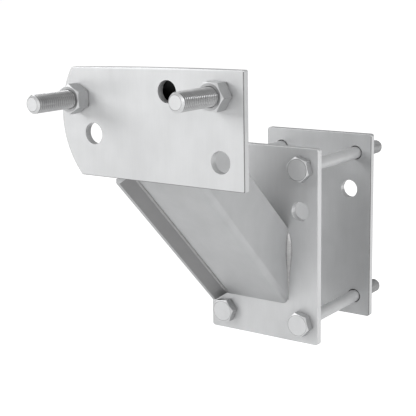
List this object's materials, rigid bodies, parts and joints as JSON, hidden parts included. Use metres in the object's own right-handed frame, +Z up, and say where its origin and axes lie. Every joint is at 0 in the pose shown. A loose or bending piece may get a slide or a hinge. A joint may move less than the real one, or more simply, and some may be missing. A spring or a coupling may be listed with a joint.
{
  "type": "spare wheel carrier",
  "caption": "Bolt-on spare wheel carrier: two plates clamp a trailer drawbar with long bolts, and an angled box arm holds a wheel plate with threaded studs.",
  "frame": {"origin": "the centre of the gap between the two clamp plates, on the drawbar's centreline", "axes": "+X to the right as seen from the wheel's side and along the drawbar, +Y from the wheel towards the drawbar and through both clamp plates, +Z up"},
  "size_m": [0.1424, 0.268, 0.202],
  "materials": {
    "plate_steel": "satin zinc-plated sheet and plate steel",
    "weld_metal": "zinc-plated weld bead",
    "fastener_steel": "bright zinc-plated bolts and nuts"
  },
  "bodies": {
    "carrier": {"front_clamp_plate": "plate_steel", "wheel_plate": "plate_steel", "arm_channel": "plate_steel", "arm_side_plate": "plate_steel", "arm_cover": "plate_steel", "arm_lip": "plate_steel", "weld_clamp_plate": "weld_metal", "weld_wheel_plate": "weld_metal", "weld_lip": "weld_metal", "weld_side_plate": "weld_metal", "weld_cover": "weld_metal", "clamp_bolt_upper_left": "fastener_steel", "clamp_bolt_upper_right": "fastener_steel", "clamp_bolt_lower_left": "fastener_steel", "clamp_bolt_lower_right": "fastener_steel", "wheel_bolt_left": "fastener_steel", "wheel_bolt_washer_left": "fastener_steel", "wheel_bolt_right": "fastener_steel", "wheel_bolt_washer_right": "fastener_steel"},
    "rear_jaw": {"rear_clamp_plate": "plate_steel"},
    "upper_left_nut": {"clamp_nut_upper_left": "fastener_steel"},
    "upper_right_nut": {"clamp_nut_upper_right": "fastener_steel"},
    "lower_left_nut": {"clamp_nut_lower_left": "fastener_steel"},
    "lower_right_nut": {"clamp_nut_lower_right": "fastener_steel"},
    "left_wheel_nut": {"wheel_nut_left": "fastener_steel"},
    "right_wheel_nut": {"wheel_nut_right": "fastener_steel"}
  },
  "joints": [
    {"name": "clamp_open", "type": "slide", "parent": "carrier", "child": "rear_jaw", "axis": [0, 1, 0], "range_m": [-0.004, 0.02]},
    {"name": "upper_left_nut_turn", "type": "hinge", "parent": "rear_jaw", "child": "upper_left_nut", "pos_m": [-0.032, 0.0462, 0.0555], "axis": [0, 1, 0], "range_deg": [-960.1, 4800.1]},
    {"name": "upper_right_nut_turn", "type": "hinge", "parent": "rear_jaw", "child": "upper_right_nut", "pos_m": [0.032, 0.0462, 0.0555], "axis": [0, 1, 0], "range_deg": [-960.1, 4800.1]},
    {"name": "lower_left_nut_turn", "type": "hinge", "parent": "rear_jaw", "child": "lower_left_nut", "pos_m": [-0.032, 0.0462, -0.0555], "axis": [0, 1, 0], "range_deg": [-960.1, 4800.1]},
    {"name": "lower_right_nut_turn", "type": "hinge", "parent": "rear_jaw", "child": "lower_right_nut", "pos_m": [0.032, 0.0462, -0.0555], "axis": [0, 1, 0], "range_deg": [-960.1, 4800.1]},
    {"name": "left_wheel_nut_turn", "type": "hinge", "parent": "carrier", "child": "left_wheel_nut", "pos_m": [-0.0695, -0.1575, 0.1102], "axis": [0, 1, 0], "continuous": true},
    {"name": "right_wheel_nut_turn", "type": "hinge", "parent": "carrier", "child": "right_wheel_nut", "pos_m": [0.04075, -0.1575, 0.1168], "axis": [0, 1, 0], "continuous": true}
  ],
  "couplings": [
    {"joint": "upper_left_nut_turn", "follows": "clamp_open", "rad_per_m": 4188.8},
    {"joint": "upper_right_nut_turn", "follows": "clamp_open", "rad_per_m": 4188.8},
    {"joint": "lower_left_nut_turn", "follows": "clamp_open", "rad_per_m": 4188.8},
    {"joint": "lower_right_nut_turn", "follows": "clamp_open", "rad_per_m": 4188.8}
  ]
}
